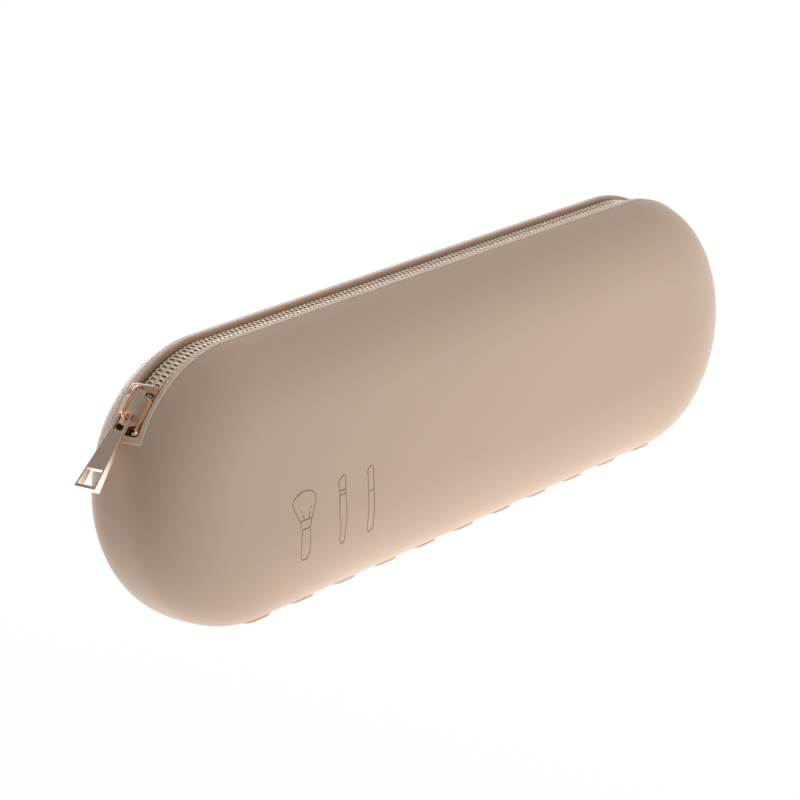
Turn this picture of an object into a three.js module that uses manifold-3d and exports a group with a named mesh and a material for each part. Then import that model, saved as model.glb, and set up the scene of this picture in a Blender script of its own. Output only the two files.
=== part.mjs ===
// Zippered silicone brush pouch: an upright, pillow-shaped capsule with a recessed coil
// zip that runs along its top and round both upper ends.
// Millimetres, +Z up, +X along the pouch with the closed slider at the -X end, front at -Y.
// The origin is under the middle of the pouch, on the flat underside of a base pad.
import * as THREE from 'three';
import { mergeVertices } from 'three/addons/utils/BufferGeometryUtils.js';
import Module from 'manifold-3d';

const wasm = await Module();
wasm.setup();

// ---- Driving dimensions ----
const LENGTH = 230; // overall, along X
const HEIGHT = 72; // without the base pads
const THICKNESS = 34; // front to back
const WALL = 2.2; // silicone
const SHOULDER = 24; // how far in from the rim the rounded edge reaches the flat of a side
const PAD_COUNT = 11;
const PAD_PITCH = 15.6;
const PAD_ROW_CENTRE = 2; // the moulded row sits a little towards +X
const PAD_HALF_LENGTH = 5; // along X
const PAD_HALF_WIDTH = 6; // along Y
const PAD_PROUD = 0.6;
const TRENCH_HALF_WIDTH = 4.25; // opening that the zip lies in
const TRENCH_ANGLE = 57; // degrees that the opening wraps round each end, from straight up
const SURROUND_HALF_WIDTH = 6; // outer edge of the bonded surround
const SURROUND_ANGLE = 59.7;
const TOOTH_PITCH = 1.5;
const CLEARANCE = 0.3; // between pieces that meet
const SLIDER_ANGLE = 46.2; // where the closed slider's middle sits, from straight up
const TAB_DROP = 44; // pull tab's slope below the horizontal
const TAB_LENGTH = 20.6; // from its hook bar to its far end

// ---- Places worked out from them ----
const END_R = HEIGHT / 2; // both ends are half circles
const HALF = LENGTH / 2 - END_R; // end arc centres are at x = -HALF and +HALF
const AXIS_Z = PAD_PROUD + END_R; // height of the end arc centres

// Levels of the zip, as radii about the end arc centres. On the straight top they are
// heights above AXIS_Z.
const LEDGE_R = 32.7; // ledge that the tapes are bonded to
const TAPE_R = LEDGE_R + CLEARANCE;
const TAPE_THICKNESS = 0.4;
const COIL_R = TAPE_R + TAPE_THICKNESS + CLEARANCE;
const COIL_THICKNESS = 1;
const COIL_TOP_R = COIL_R + COIL_THICKNESS;
const SHELL_LIP_R = 30.9; // underside of the thick lip round the zip
const BEYOND = 8; // how far a cutter reaches past the surface
const COIL_OUTER_Y = 2.95;
const COIL_END_ANGLE = 54.5;
const STOP_ANGLES = [54.9, 56.3];

const rad = THREE.MathUtils.degToRad;

// ---- Solids ----
function toSolid(geometry) {
  const bare = geometry.index ? geometry.toNonIndexed() : geometry.clone();
  bare.deleteAttribute('normal');
  bare.deleteAttribute('uv');
  const merged = mergeVertices(bare, 1e-4);
  return new wasm.Manifold(new wasm.Mesh({
    numProp: 3,
    vertProperties: new Float32Array(merged.attributes.position.array),
    triVerts: new Uint32Array(merged.index.array),
  }));
}

function toGeometry(solid) {
  const mesh = solid.getMesh();
  const geometry = new THREE.BufferGeometry();
  geometry.setAttribute('position', new THREE.BufferAttribute(mesh.vertProperties, 3));
  geometry.setIndex(new THREE.BufferAttribute(mesh.triVerts, 1));
  geometry.computeVertexNormals();
  return geometry;
}

// An outline in the XZ plane, extruded from y1 to y2.
function extrudeXZ(shape, y1, y2, curveSegments = 12) {
  const options = { depth: y2 - y1, bevelEnabled: false, curveSegments };
  const geometry = new THREE.ExtrudeGeometry(shape, options);
  geometry.rotateX(Math.PI / 2);
  geometry.translate(0, y2, 0);
  return geometry;
}

// A band that follows the zip between two radii and two sides, over the top and round
// each end by the given angle.
function zipBand(r1, r2, y1, y2, angle, curveSegments = 12) {
  const up = Math.PI / 2;
  const wrap = rad(angle);
  const shape = new THREE.Shape();
  shape.absarc(-HALF, AXIS_Z, r2, up + wrap, up, true);
  shape.absarc(HALF, AXIS_Z, r2, up, up - wrap, true);
  shape.absarc(HALF, AXIS_Z, r1, up - wrap, up, false);
  shape.absarc(-HALF, AXIS_Z, r1, up, up + wrap, false);
  shape.closePath();
  return extrudeXZ(shape, y1, y2, curveSegments);
}

// A short piece of such a band on one end arc: side is -1 for the -X end, 1 for the +X end.
function endBand(side, r1, r2, y1, y2, angle1, angle2) {
  const at = (a) => Math.PI / 2 - side * rad(a);
  const shape = new THREE.Shape();
  shape.absarc(side * HALF, AXIS_Z, r2, at(angle1), at(angle2), side > 0);
  shape.absarc(side * HALF, AXIS_Z, r1, at(angle2), at(angle1), side < 0);
  shape.closePath();
  return extrudeXZ(shape, y1, y2, 4);
}

// The pillow shape: stacked capsule outlines that shrink towards the front and back by a
// rounded-shoulder curve. Its ends are half circles in every outline.
const LEVELS = [0, 0.25, 0.45, 0.6, 0.72, 0.82, 0.9, 0.955, 0.985, 1];

function pillow(radius, halfThickness, shoulder, arcSteps) {
  const inset = (u) => shoulder * (1 - (1 - u ** 3) ** (1 / 2.2));
  const levels = [...LEVELS.slice(1).reverse().map((u) => -u), ...LEVELS];
  const positions = [];
  const loop = 2 * (arcSteps + 1);
  for (const u of levels) {
    const r = radius - inset(Math.abs(u));
    for (const side of [1, -1]) {
      for (let i = 0; i <= arcSteps; i++) {
        const a = Math.PI * i / arcSteps - side * Math.PI / 2;
        const x = side > 0 ? Math.cos(a) : -Math.cos(a - Math.PI);
        const z = side > 0 ? Math.sin(a) : -Math.sin(a - Math.PI);
        positions.push(side * HALF + r * x, u * halfThickness, AXIS_Z + r * z);
      }
    }
  }
  const index = [];
  for (let k = 0; k + 1 < levels.length; k++) {
    for (let i = 0; i < loop; i++) {
      const a = k * loop + i;
      const b = k * loop + (i + 1) % loop;
      index.push(a, a + loop, b, b, a + loop, b + loop);
    }
  }
  const last = (levels.length - 1) * loop;
  for (let i = 1; i + 1 < loop; i++) {
    index.push(0, i, i + 1);
    index.push(last, last + i + 1, last + i);
  }
  const geometry = new THREE.BufferGeometry();
  geometry.setAttribute('position', new THREE.Float32BufferAttribute(positions, 3));
  geometry.setIndex(index);
  return geometry;
}

// ---- Silicone ----
const ARC_STEPS = 18;
const outerPillow = toSolid(pillow(END_R, THICKNESS / 2, SHOULDER, ARC_STEPS));

function basePad(x) {
  const shape = new THREE.Shape();
  const steps = 16;
  for (let i = 0; i < steps; i++) {
    const a = 2 * Math.PI * i / steps;
    const squircle = (v) => Math.sign(v) * Math.abs(v) ** 0.5;
    const px = x + PAD_HALF_LENGTH * squircle(Math.cos(a));
    const py = PAD_HALF_WIDTH * squircle(Math.sin(a));
    if (i === 0) shape.moveTo(px, py);
    else shape.lineTo(px, py);
  }
  const depth = PAD_PROUD + 1.6;
  return new THREE.ExtrudeGeometry(shape, { depth, bevelEnabled: false });
}

function pouchShell() {
  const lipOuterY = SURROUND_HALF_WIDTH + 1.6;
  const cavity = toSolid(pillow(END_R - WALL, THICKNESS / 2 - WALL, SHOULDER - WALL, ARC_STEPS))
    .subtract(toSolid(zipBand(SHELL_LIP_R, END_R + BEYOND, -lipOuterY, lipOuterY, 63)));
  const recessY = SURROUND_HALF_WIDTH + CLEARANCE;
  const recess = zipBand(LEDGE_R, END_R + BEYOND, -recessY, recessY, SURROUND_ANGLE + 0.5);
  const slotY = TRENCH_HALF_WIDTH + 0.35;
  const slot = zipBand(SHELL_LIP_R - 2, END_R + BEYOND, -slotY, slotY, TRENCH_ANGLE + 0.6);
  let shell = outerPillow;
  for (let i = 0; i < PAD_COUNT; i++) {
    shell = shell.add(toSolid(basePad(PAD_ROW_CENTRE + (i - (PAD_COUNT - 1) / 2) * PAD_PITCH)));
  }
  return shell.subtract(cavity).subtract(toSolid(recess)).subtract(toSolid(slot));
}

function zipSurround() {
  const y = SURROUND_HALF_WIDTH;
  const frame = toSolid(zipBand(COIL_R, END_R + BEYOND, -y, y, SURROUND_ANGLE));
  const t = TRENCH_HALF_WIDTH;
  const opening = toSolid(zipBand(COIL_R - 2, END_R + BEYOND, -t, t, TRENCH_ANGLE));
  return frame.intersect(outerPillow).subtract(opening);
}

// ---- Zip ----
const FRONT = -1;
const BACK = 1;

// Each tape is one woven strip. Its inner edge steps back where the slider's divider
// parts the two tapes.
function zipTape(side) {
  const inner = 0.45;
  const edges = (a, b) => (side < 0 ? [-b, -a] : [a, b]);
  const [y1, y2] = edges(inner, SURROUND_HALF_WIDTH);
  const tape = toSolid(zipBand(TAPE_R, TAPE_R + TAPE_THICKNESS, y1, y2, SURROUND_ANGLE - 0.3));
  const [n1, n2] = edges(-0.2, 1.15);
  const notch = endBand(-1, TAPE_R - 1, TAPE_R + 2, n1, n2, 48.6, SURROUND_ANGLE + 2);
  return tape.subtract(toSolid(notch));
}

// A point at a distance along the middle of the chain, measured from the -X end.
const COIL_MID_R = COIL_R + COIL_THICKNESS / 2;
const ARC_RUN = rad(COIL_END_ANGLE) * COIL_MID_R;
const COIL_RUN = 2 * ARC_RUN + 2 * HALF;

function alongZip(distance, y, r) {
  if (distance < ARC_RUN) {
    const a = (ARC_RUN - distance) / COIL_MID_R;
    return [-HALF - r * Math.sin(a), y, AXIS_Z + r * Math.cos(a)];
  }
  if (distance > ARC_RUN + 2 * HALF) {
    const a = (distance - ARC_RUN - 2 * HALF) / COIL_MID_R;
    return [HALF + r * Math.sin(a), y, AXIS_Z + r * Math.cos(a)];
  }
  return [distance - ARC_RUN - HALF, y, AXIS_Z + r];
}

// One row of coil: a flat strip with a straight outer edge and a toothed inner edge. The
// two rows' teeth mesh across the middle with a small gap. Where the slider's divider
// parts the rows, the teeth end and the edge runs straight.
function zipCoil(side) {
  const teeth = Math.round(COIL_RUN / TOOTH_PITCH);
  const step = COIL_RUN / teeth / 2;
  const reach = 0.8; // how far the tooth tips cross the middle
  const gap = 0.22; // half the gap between the meshed edges, across the chain
  const parted = ARC_RUN - rad(48) * COIL_MID_R;
  const inner = [];
  for (let i = 0; i <= 2 * teeth; i++) {
    const zigzag = (i % 2 ? reach : -reach) + side * gap;
    inner.push(i * step < parted ? side * 1.15 : zigzag);
  }
  const stepsPerPanel = 8;
  const positions = [];
  for (const r of [COIL_R, COIL_TOP_R]) {
    inner.forEach((y, i) => positions.push(...alongZip(i * step, y, r)));
  }
  const outerStart = 2 * inner.length;
  const panels = Math.ceil((inner.length - 1) / stepsPerPanel);
  const panelStep = (k) => Math.min(k * stepsPerPanel, inner.length - 1);
  for (const r of [COIL_R, COIL_TOP_R]) {
    for (let k = 0; k <= panels; k++) {
      positions.push(...alongZip(panelStep(k) * step, side * COIL_OUTER_Y, r));
    }
  }
  const innerAt = (layer, i) => layer * inner.length + i;
  const outerAt = (layer, k) => outerStart + layer * (panels + 1) + k;
  const index = [];
  const face = (flip, a, b, c) => (flip ? index.push(a, c, b) : index.push(a, b, c));
  for (const layer of [0, 1]) {
    const flip = (layer === 1) === (side > 0);
    for (let k = 0; k < panels; k++) {
      const from = panelStep(k);
      const to = panelStep(k + 1);
      const mid = Math.round((from + to) / 2);
      for (let i = from; i < to; i++) {
        const corner = outerAt(layer, i < mid ? k : k + 1);
        face(flip, corner, innerAt(layer, i + 1), innerAt(layer, i));
      }
      face(flip, outerAt(layer, k), outerAt(layer, k + 1), innerAt(layer, mid));
    }
  }
  const wall = (flip, a, b, c, d) => {
    face(flip, a, b, c);
    face(flip, a, c, d);
  };
  const front = side < 0;
  for (let i = 0; i + 1 < inner.length; i++) {
    wall(front, innerAt(0, i), innerAt(0, i + 1), innerAt(1, i + 1), innerAt(1, i));
  }
  for (let k = 0; k < panels; k++) {
    wall(!front, outerAt(0, k), outerAt(0, k + 1), outerAt(1, k + 1), outerAt(1, k));
  }
  wall(!front, innerAt(0, 0), outerAt(0, 0), outerAt(1, 0), innerAt(1, 0));
  const end = inner.length - 1;
  wall(front, innerAt(0, end), outerAt(0, panels), outerAt(1, panels), innerAt(1, end));
  const geometry = new THREE.BufferGeometry();
  geometry.setAttribute('position', new THREE.Float32BufferAttribute(positions, 3));
  geometry.setIndex(index);
  return toSolid(geometry);
}

function topStop(side) {
  const [y1, y2] = side < 0 ? [-COIL_OUTER_Y, -1.15] : [1.15, COIL_OUTER_Y];
  return toSolid(endBand(-1, COIL_R, COIL_TOP_R, y1, y2, ...STOP_ANGLES));
}

function bottomStop() {
  return toSolid(endBand(1, COIL_R, COIL_TOP_R + 0.3, -COIL_OUTER_Y, COIL_OUTER_Y, ...STOP_ANGLES));
}

// ---- Slider and pull ----
// They are drawn in the slider's own frame, with x along the zip towards the pouch's -X
// end, y across it towards the front, and z outwards, measured from the end arc's centre.
const PLATE_TOP = 36.5;
const MOUTH_TOP = 35.85;
const PLATE_UNDER_R = COIL_TOP_R + CLEARANCE;
const BOTTOM_PLATE_Z = 31.3;
const HOOK_X = 2.2; // centre of the pull tab's hook bar
const HOOK_Z = 37.25;
const CROWN_HALF_WIDTH = 0.45;

function toWorld(geometry) {
  // The slider's frame is turned half round its z axis, then tipped to its place.
  geometry.rotateZ(Math.PI);
  geometry.rotateY(-rad(SLIDER_ANGLE));
  geometry.translate(-HALF, 0, AXIS_Z);
  return geometry;
}

function planSlab(points, z1, z2) {
  const shape = new THREE.Shape(points.map(([x, y]) => new THREE.Vector2(x, y)));
  const geometry = new THREE.ExtrudeGeometry(shape, { depth: z2 - z1, bevelEnabled: false });
  geometry.translate(0, 0, z1);
  return toSolid(geometry);
}

function mirroredOutline(halfOutline) {
  const back = [...halfOutline].reverse().map(([x, y]) => [x, -y]);
  return [...halfOutline, ...back];
}

// A curved channel between two radii, in the slider's frame.
function channel(r1, r2, halfWidth) {
  const shape = new THREE.Shape();
  const span = rad(20);
  shape.absarc(0, 0, r2, Math.PI / 2 + span, Math.PI / 2 - span, true);
  shape.absarc(0, 0, r1, Math.PI / 2 - span, Math.PI / 2 + span, false);
  shape.closePath();
  return toSolid(extrudeXZ(shape, -halfWidth, halfWidth, 12));
}

function sliderBody() {
  const topOutline = mirroredOutline([
    [-5.9, 3.3], [-5.3, 3.9], [-3.6, 3.9], [-2.6, 3.6], [1.2, 3.6], [2.4, 3.9], [5.2, 3.9], [5.9, 3.2],
  ]);
  const bottomOutline = mirroredOutline([[-5.3, 3.3], [-4.8, 3.8], [4.4, 3.8], [5, 3.2]]);
  // From the side, the top plate is flat over the chain's closed end and slopes to its mouth.
  const sideProfile = new THREE.Shape([
    [-6, COIL_R - 1], [6, COIL_R - 1], [6, MOUTH_TOP], [1.5, PLATE_TOP], [-6, PLATE_TOP],
  ].map(([x, z]) => new THREE.Vector2(x, z)));
  const body = planSlab(topOutline, COIL_R, PLATE_TOP + 1)
    .intersect(toSolid(extrudeXZ(sideProfile, -5, 5)))
    .add(planSlab(bottomOutline, BOTTOM_PLATE_Z, LEDGE_R))
    .subtract(channel(LEDGE_R, PLATE_UNDER_R, COIL_OUTER_Y + CLEARANCE))
    .subtract(channel(LEDGE_R, COIL_R + 0.05, 6));
  const dividerOutline = mirroredOutline([[1.9, 0.1], [3, 0.75], [4, 0.75], [4.8, 0.35]]);
  return body.add(planSlab(dividerOutline, BOTTOM_PLATE_Z + 0.3, MOUTH_TOP - 0.1)).add(crown());
}

// The crown is a bridge of flat wire that stands on the top plate over the hook bar.
function crown() {
  const outer = [[-4.9, 36], [-4.9, 37.2], [-3, 38.9], [2.4, 38.9], [3.75, 37.9], [3.75, 36]];
  const inner = [[3.05, 36], [3.05, 37.6], [2.15, 38.2], [-2.75, 38.2], [-4.2, 36.9], [-4.2, 36]];
  const shape = new THREE.Shape([...outer, ...inner].map(([x, z]) => new THREE.Vector2(x, z)));
  return toSolid(extrudeXZ(shape, -CROWN_HALF_WIDTH, CROWN_HALF_WIDTH));
}

// The pull tab in a frame of its own, with x along it from the hook bar's centre: a round
// hook bar and two rails, then a blade that widens and thickens towards its far end and
// has a window there.
function pullTab() {
  const eyeHalf = 2.1;
  const railInner = 1.5;
  const bladeStart = 4.6;
  const near = { halfWidth: 2.35, halfThickness: 0.4 };
  const far = { halfWidth: 3.6, halfThickness: 0.95 };
  const barRadius = 0.45;
  const windowEnd = TAB_LENGTH - 0.85;
  const bar = new THREE.CylinderGeometry(barRadius, barRadius, 2 * eyeHalf, 12);
  const wedge = new THREE.Shape([
    [0, -near.halfThickness], [bladeStart, -near.halfThickness],
    [TAB_LENGTH, -far.halfThickness], [TAB_LENGTH, far.halfThickness],
    [bladeStart, near.halfThickness], [0, near.halfThickness],
  ].map(([x, z]) => new THREE.Vector2(x, z)));
  const outline = mirroredOutline([
    [0, eyeHalf], [bladeStart, near.halfWidth], [TAB_LENGTH, far.halfWidth],
  ]);
  const eye = mirroredOutline([[barRadius, railInner], [bladeStart, railInner + 0.15]]);
  const farWindow = mirroredOutline([[windowEnd - 4.9, 2.6], [windowEnd, 2.95]]);
  return toSolid(bar)
    .add(toSolid(extrudeXZ(wedge, -4, 4)).intersect(planSlab(outline, -2, 2)))
    .subtract(planSlab(eye, -2, 2))
    .subtract(planSlab(farWindow, -2, 2));
}

function placePullTab(geometry) {
  geometry.rotateY(rad(TAB_DROP - SLIDER_ANGLE));
  geometry.translate(HOOK_X, 0, HOOK_Z);
  return toWorld(geometry);
}

// ---- Materials and assembly ----
const material = (color, roughness, metalness) => (
  new THREE.MeshStandardMaterial({ color, roughness, metalness }));
const silicone = material(0xbea795, 0.55, 0);
const tapeCloth = material(0x9c8069, 0.9, 0);
const coilPlastic = material(0xd8c4b0, 0.3, 0.1);
const plating = material(0xd9a987, 0.15, 1);

const group = new THREE.Group();

function addPart(name, geometry, partMaterial) {
  const mesh = new THREE.Mesh(geometry, partMaterial);
  mesh.name = name;
  group.add(mesh);
}

addPart('pouch_shell', toGeometry(pouchShell()), silicone);
addPart('zip_surround', toGeometry(zipSurround()), silicone);
addPart('zip_tape_front', toGeometry(zipTape(FRONT)), tapeCloth);
addPart('zip_tape_back', toGeometry(zipTape(BACK)), tapeCloth);
addPart('zip_coil_front', toGeometry(zipCoil(FRONT)), coilPlastic);
addPart('zip_coil_back', toGeometry(zipCoil(BACK)), coilPlastic);
addPart('top_stop_front', toGeometry(topStop(FRONT)), plating);
addPart('top_stop_back', toGeometry(topStop(BACK)), plating);
addPart('bottom_stop', toGeometry(bottomStop()), plating);
addPart('slider_body', toWorld(toGeometry(sliderBody())), plating);
addPart('pull_tab', placePullTab(toGeometry(pullTab())), plating);

export default group;
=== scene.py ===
"""Looks for the zippered silicone brush pouch. Metres in the scene; millimetres in the maths."""
import math

import bmesh
import bpy
import numpy as np
from mathutils import Matrix, Vector


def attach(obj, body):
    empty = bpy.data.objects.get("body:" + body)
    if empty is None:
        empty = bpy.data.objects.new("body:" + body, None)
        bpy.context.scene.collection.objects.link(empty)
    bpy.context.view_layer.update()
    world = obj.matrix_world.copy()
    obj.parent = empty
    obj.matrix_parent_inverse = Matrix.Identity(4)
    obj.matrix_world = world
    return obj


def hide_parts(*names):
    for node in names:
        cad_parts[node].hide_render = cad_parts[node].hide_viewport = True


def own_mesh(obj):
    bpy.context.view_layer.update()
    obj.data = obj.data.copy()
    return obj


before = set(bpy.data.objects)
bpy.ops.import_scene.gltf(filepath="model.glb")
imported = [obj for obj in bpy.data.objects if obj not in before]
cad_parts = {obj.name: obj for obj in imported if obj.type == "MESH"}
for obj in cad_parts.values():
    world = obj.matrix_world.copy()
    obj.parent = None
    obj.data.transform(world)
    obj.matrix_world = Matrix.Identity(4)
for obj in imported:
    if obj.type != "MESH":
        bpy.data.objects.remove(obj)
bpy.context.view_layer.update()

MM = 0.001  # metres
TO_MM = 1000  # millimetres in a metre

# ---- Dimensions, in mm, as in the part's source ----
END_R = 36.0
HALF = 79.0
HALF_THICK = 17.0
SHOULDER = 24.0
WALL = 2.2
PAD_PROUD = 0.6
AXIS_Z = PAD_PROUD + END_R
ARC = math.pi * END_R
LEDGE_R = 32.7
LIP_R = 30.9
TAPE_R = 33.0
TAPE_TOP_R = 33.4
COIL_MID_R = 34.2
OPENING_Y = 4.25
OPENING_S = HALF + END_R * math.radians(57.0)
SURROUND_Y = 6.0
SURROUND_S = HALF + END_R * math.radians(59.7)
RECESS_Y = 6.12
RECESS_S = HALF + END_R * math.radians(59.9)
SLOT_Y = 4.6
SLOT_S = HALF + END_R * math.radians(57.6)
SLIDER_DEG = 46.2
TAB_DROP = 44.0
HOOK = (2.2, 37.25)
PITCH = 1.5


# ---- Shape of the pouch ----
def inset(y):
    """How far the outline has drawn in at side y."""
    u = np.clip(np.abs(y) / HALF_THICK, 0, 1)
    return SHOULDER * (1 - (1 - u**3) ** (1 / 2.2))


def side_of(depth):
    """The side |y| at which the outline has drawn in by depth."""
    d = np.clip(depth / SHOULDER, 0, 1)
    return HALF_THICK * (1 - (1 - d) ** 2.2) ** (1 / 3)


def on_zip(s, y, r):
    """Points at run s from the middle of the top, side y and radius r."""
    s, y, r = np.broadcast_arrays(*(np.asarray(v, float) for v in (s, y, r)))
    q = np.abs(s)
    turn = np.clip((q - HALF) / END_R, 0, math.pi)
    x = np.where(q > HALF + ARC, 2 * HALF + ARC - q, np.minimum(q, HALF) + r * np.sin(turn))
    return np.stack([np.sign(s) * x, y, AXIS_Z + r * np.cos(turn)], -1)


def slider_frame():
    """Matrix from the slider's own frame (x towards the -X end, z out) to the row's, in mm."""
    turn = Matrix.Rotation(-math.radians(SLIDER_DEG), 4, "Y") @ Matrix.Rotation(math.pi, 4, "Z")
    return Matrix.Translation((-HALF, 0, AXIS_Z)) @ turn


def tab_frame():
    """Matrix from the tab's own frame (x down its blade) to the row's, in mm."""
    swing = Matrix.Rotation(math.radians(TAB_DROP - SLIDER_DEG), 4, "Y")
    return slider_frame() @ Matrix.Translation((HOOK[0], 0, HOOK[1])) @ swing


def zip_outward(s):
    """Unit vectors away from the outline's middle line at run s."""
    turn = np.clip((np.abs(s) - HALF) / END_R, 0, math.pi)
    return np.stack([np.sign(s) * np.sin(turn), 0 * s, np.cos(turn)], 1)


# ---- Mesh helpers ----
MERGE = 1e-6  # metres


def piece(name, points, faces, material, body, smooth=True, matrix=None):
    """Makes an object from points in mm."""
    points = np.asarray(points, float)
    if matrix is not None:
        m = np.array(matrix)
        points = points @ m[:3, :3].T + m[:3, 3]
    mesh = bpy.data.meshes.new(name)
    mesh.from_pydata((points * MM).tolist(), [], [list(map(int, f)) for f in faces])
    mesh.update()
    obj = bpy.data.objects.new(name, mesh)
    bpy.context.scene.collection.objects.link(obj)
    mesh.materials.append(material)
    if smooth:
        mesh.shade_smooth()
    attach(obj, body)
    return obj


def clean(obj):
    """Merges doubles, drops empty faces and turns every face outwards."""
    bm = bmesh.new()
    bm.from_mesh(obj.data)
    bmesh.ops.remove_doubles(bm, verts=bm.verts, dist=MERGE)
    bmesh.ops.dissolve_degenerate(bm, edges=bm.edges, dist=MERGE)
    bmesh.ops.recalc_face_normals(bm, faces=bm.faces)
    bm.to_mesh(obj.data)
    bm.free()
    obj.data.update()


def grid_faces(rows, columns, wrap_columns=False, first=0):
    """Quads of a grid of points, row by row, whose first point has the number first."""
    faces = []
    for j in range(rows - 1):
        for i in range(columns if wrap_columns else columns - 1):
            k = (i + 1) % columns
            a, b = first + j * columns + i, first + j * columns + k
            faces.append((a, b, b + columns, a + columns))
    return faces


def ring_faces(rows, columns):
    """Faces of a grid that closes on itself both ways."""
    faces = grid_faces(rows, columns, True)
    last = (rows - 1) * columns
    for i in range(columns):
        k = (i + 1) % columns
        faces.append((i, last + i, last + k, k))
    return faces


def rod_faces(rows, sides, first=0):
    """Faces of a tube with both ends closed."""
    last = first + (rows - 1) * sides
    faces = grid_faces(rows, sides, True, first)
    faces.append(tuple(first + k for k in reversed(range(sides))))
    faces.append(tuple(last + k for k in range(sides)))
    return faces


def gather(parts):
    """Joins (points, faces) pairs."""
    points, faces = [], []
    for more, added in parts:
        faces += [tuple(len(points) + k for k in f) for f in added]
        points += [list(p) for p in more]
    return points, faces


def circle(sides):
    """Angles of points spread evenly round a circle."""
    return [2 * math.pi * k / sides for k in range(sides)]


def unit(vectors):
    """The vectors scaled to a length of 1."""
    return vectors / np.linalg.norm(vectors, axis=1)[:, None]


def bevel(obj, width, segments, angle):
    """Rounds the edges sharper than the angle, in degrees, and keeps the flats flat. Width in mm."""
    mod = obj.modifiers.new("edges", "BEVEL")
    mod.width = width * MM
    mod.segments = segments
    mod.limit_method = "ANGLE"
    mod.angle_limit = math.radians(angle)
    mod.harden_normals = True
    graph = bpy.context.evaluated_depsgraph_get()
    mesh = bpy.data.meshes.new_from_object(obj.evaluated_get(graph))
    obj.modifiers.clear()
    obj.data = mesh


# ---- Materials ----
def new_material(name):
    """A new material, with its nodes, its links and its shader."""
    material = bpy.data.materials.new(name)
    material.use_nodes = True
    nodes = material.node_tree.nodes
    return material, nodes, material.node_tree.links, nodes["Principled BSDF"]


def arithmetic(nodes, links, operation, *values):
    """A maths node. Each value is a number or another node's output."""
    node = nodes.new("ShaderNodeMath")
    node.operation = operation
    for socket, value in zip(node.inputs, values):
        if isinstance(value, (int, float)):
            socket.default_value = value
        else:
            links.new(value, socket)
    return node.outputs["Value"]


def noise(nodes, links, scale, detail, roughness, vector):
    node = nodes.new("ShaderNodeTexNoise")
    node.inputs["Scale"].default_value = scale
    node.inputs["Detail"].default_value = detail
    node.inputs["Roughness"].default_value = roughness
    links.new(vector, node.inputs["Vector"])
    return node.outputs["Fac"]


def bands(nodes, links, direction, scale, distortion, vector):
    """Stripes across one of the object's own axes."""
    node = nodes.new("ShaderNodeTexWave")
    node.wave_type = "BANDS"
    node.bands_direction = direction
    node.inputs["Scale"].default_value = scale
    node.inputs["Distortion"].default_value = distortion
    links.new(vector, node.inputs["Vector"])
    return node.outputs["Fac"]


def ramp(nodes, links, value, stops):
    node = nodes.new("ShaderNodeValToRGB")
    elements = node.color_ramp.elements
    while len(elements) < len(stops):
        elements.new(0.5)
    for element, (at, colour) in zip(elements, stops):
        element.position = at
        element.color = (*colour, 1)
    links.new(value, node.inputs["Fac"])
    return node.outputs["Color"]


def bump(nodes, links, height, strength, distance_mm):
    node = nodes.new("ShaderNodeBump")
    node.inputs["Strength"].default_value = strength
    node.inputs["Distance"].default_value = distance_mm * MM
    links.new(height, node.inputs["Height"])
    return node.outputs["Normal"]


def map_range(nodes, links, value, low, high, to_low, to_high):
    node = nodes.new("ShaderNodeMapRange")
    limits = {"From Min": low, "From Max": high, "To Min": to_low, "To Max": to_high}
    for name, number in limits.items():
        node.inputs[name].default_value = number
    links.new(value, node.inputs["Value"])
    return node.outputs["Result"]


def object_coordinates(nodes):
    return nodes.new("ShaderNodeTexCoord").outputs["Object"]


# Colours, as linear red, green and blue.
SILICONE = (0.68, 0.500, 0.368)
FRAME_PAINTED_LIGHT_GAIN = 1.2  # how much lighter the surround is painted than the shell, as painted light for the light its band catches
GROOVE_PAINTED_SHADE = (0.62, 0.56, 0.5)  # share of the shell's colour that the engraved lines keep, as painted shade in the grooves
# Painted highlight: the bead's colour is far paler than the shell, to stand for the light its edge
# catches.
BEAD = (0.97, 0.82, 0.68)
PLATING_DULL, PLATING_BRIGHT = (0.82, 0.63, 0.50), (0.87, 0.68, 0.54)
SATIN_DULL, SATIN_BRIGHT = (0.57, 0.455, 0.37), (0.61, 0.49, 0.40)
# Painted shade: the copper tone stands for the darker, warmer reflections of the plating on side walls,
# the crown and the hook bar.
SHADED_COPPER_DULL, SHADED_COPPER_BRIGHT = (0.74, 0.41, 0.235), (0.81, 0.47, 0.27)
COIL_DULL, COIL_BRIGHT = (0.80, 0.62, 0.46), (0.93, 0.78, 0.62)
TAPE_DARK, TAPE_PALE = (0.20, 0.13, 0.09), (0.40, 0.29, 0.21)


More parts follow.
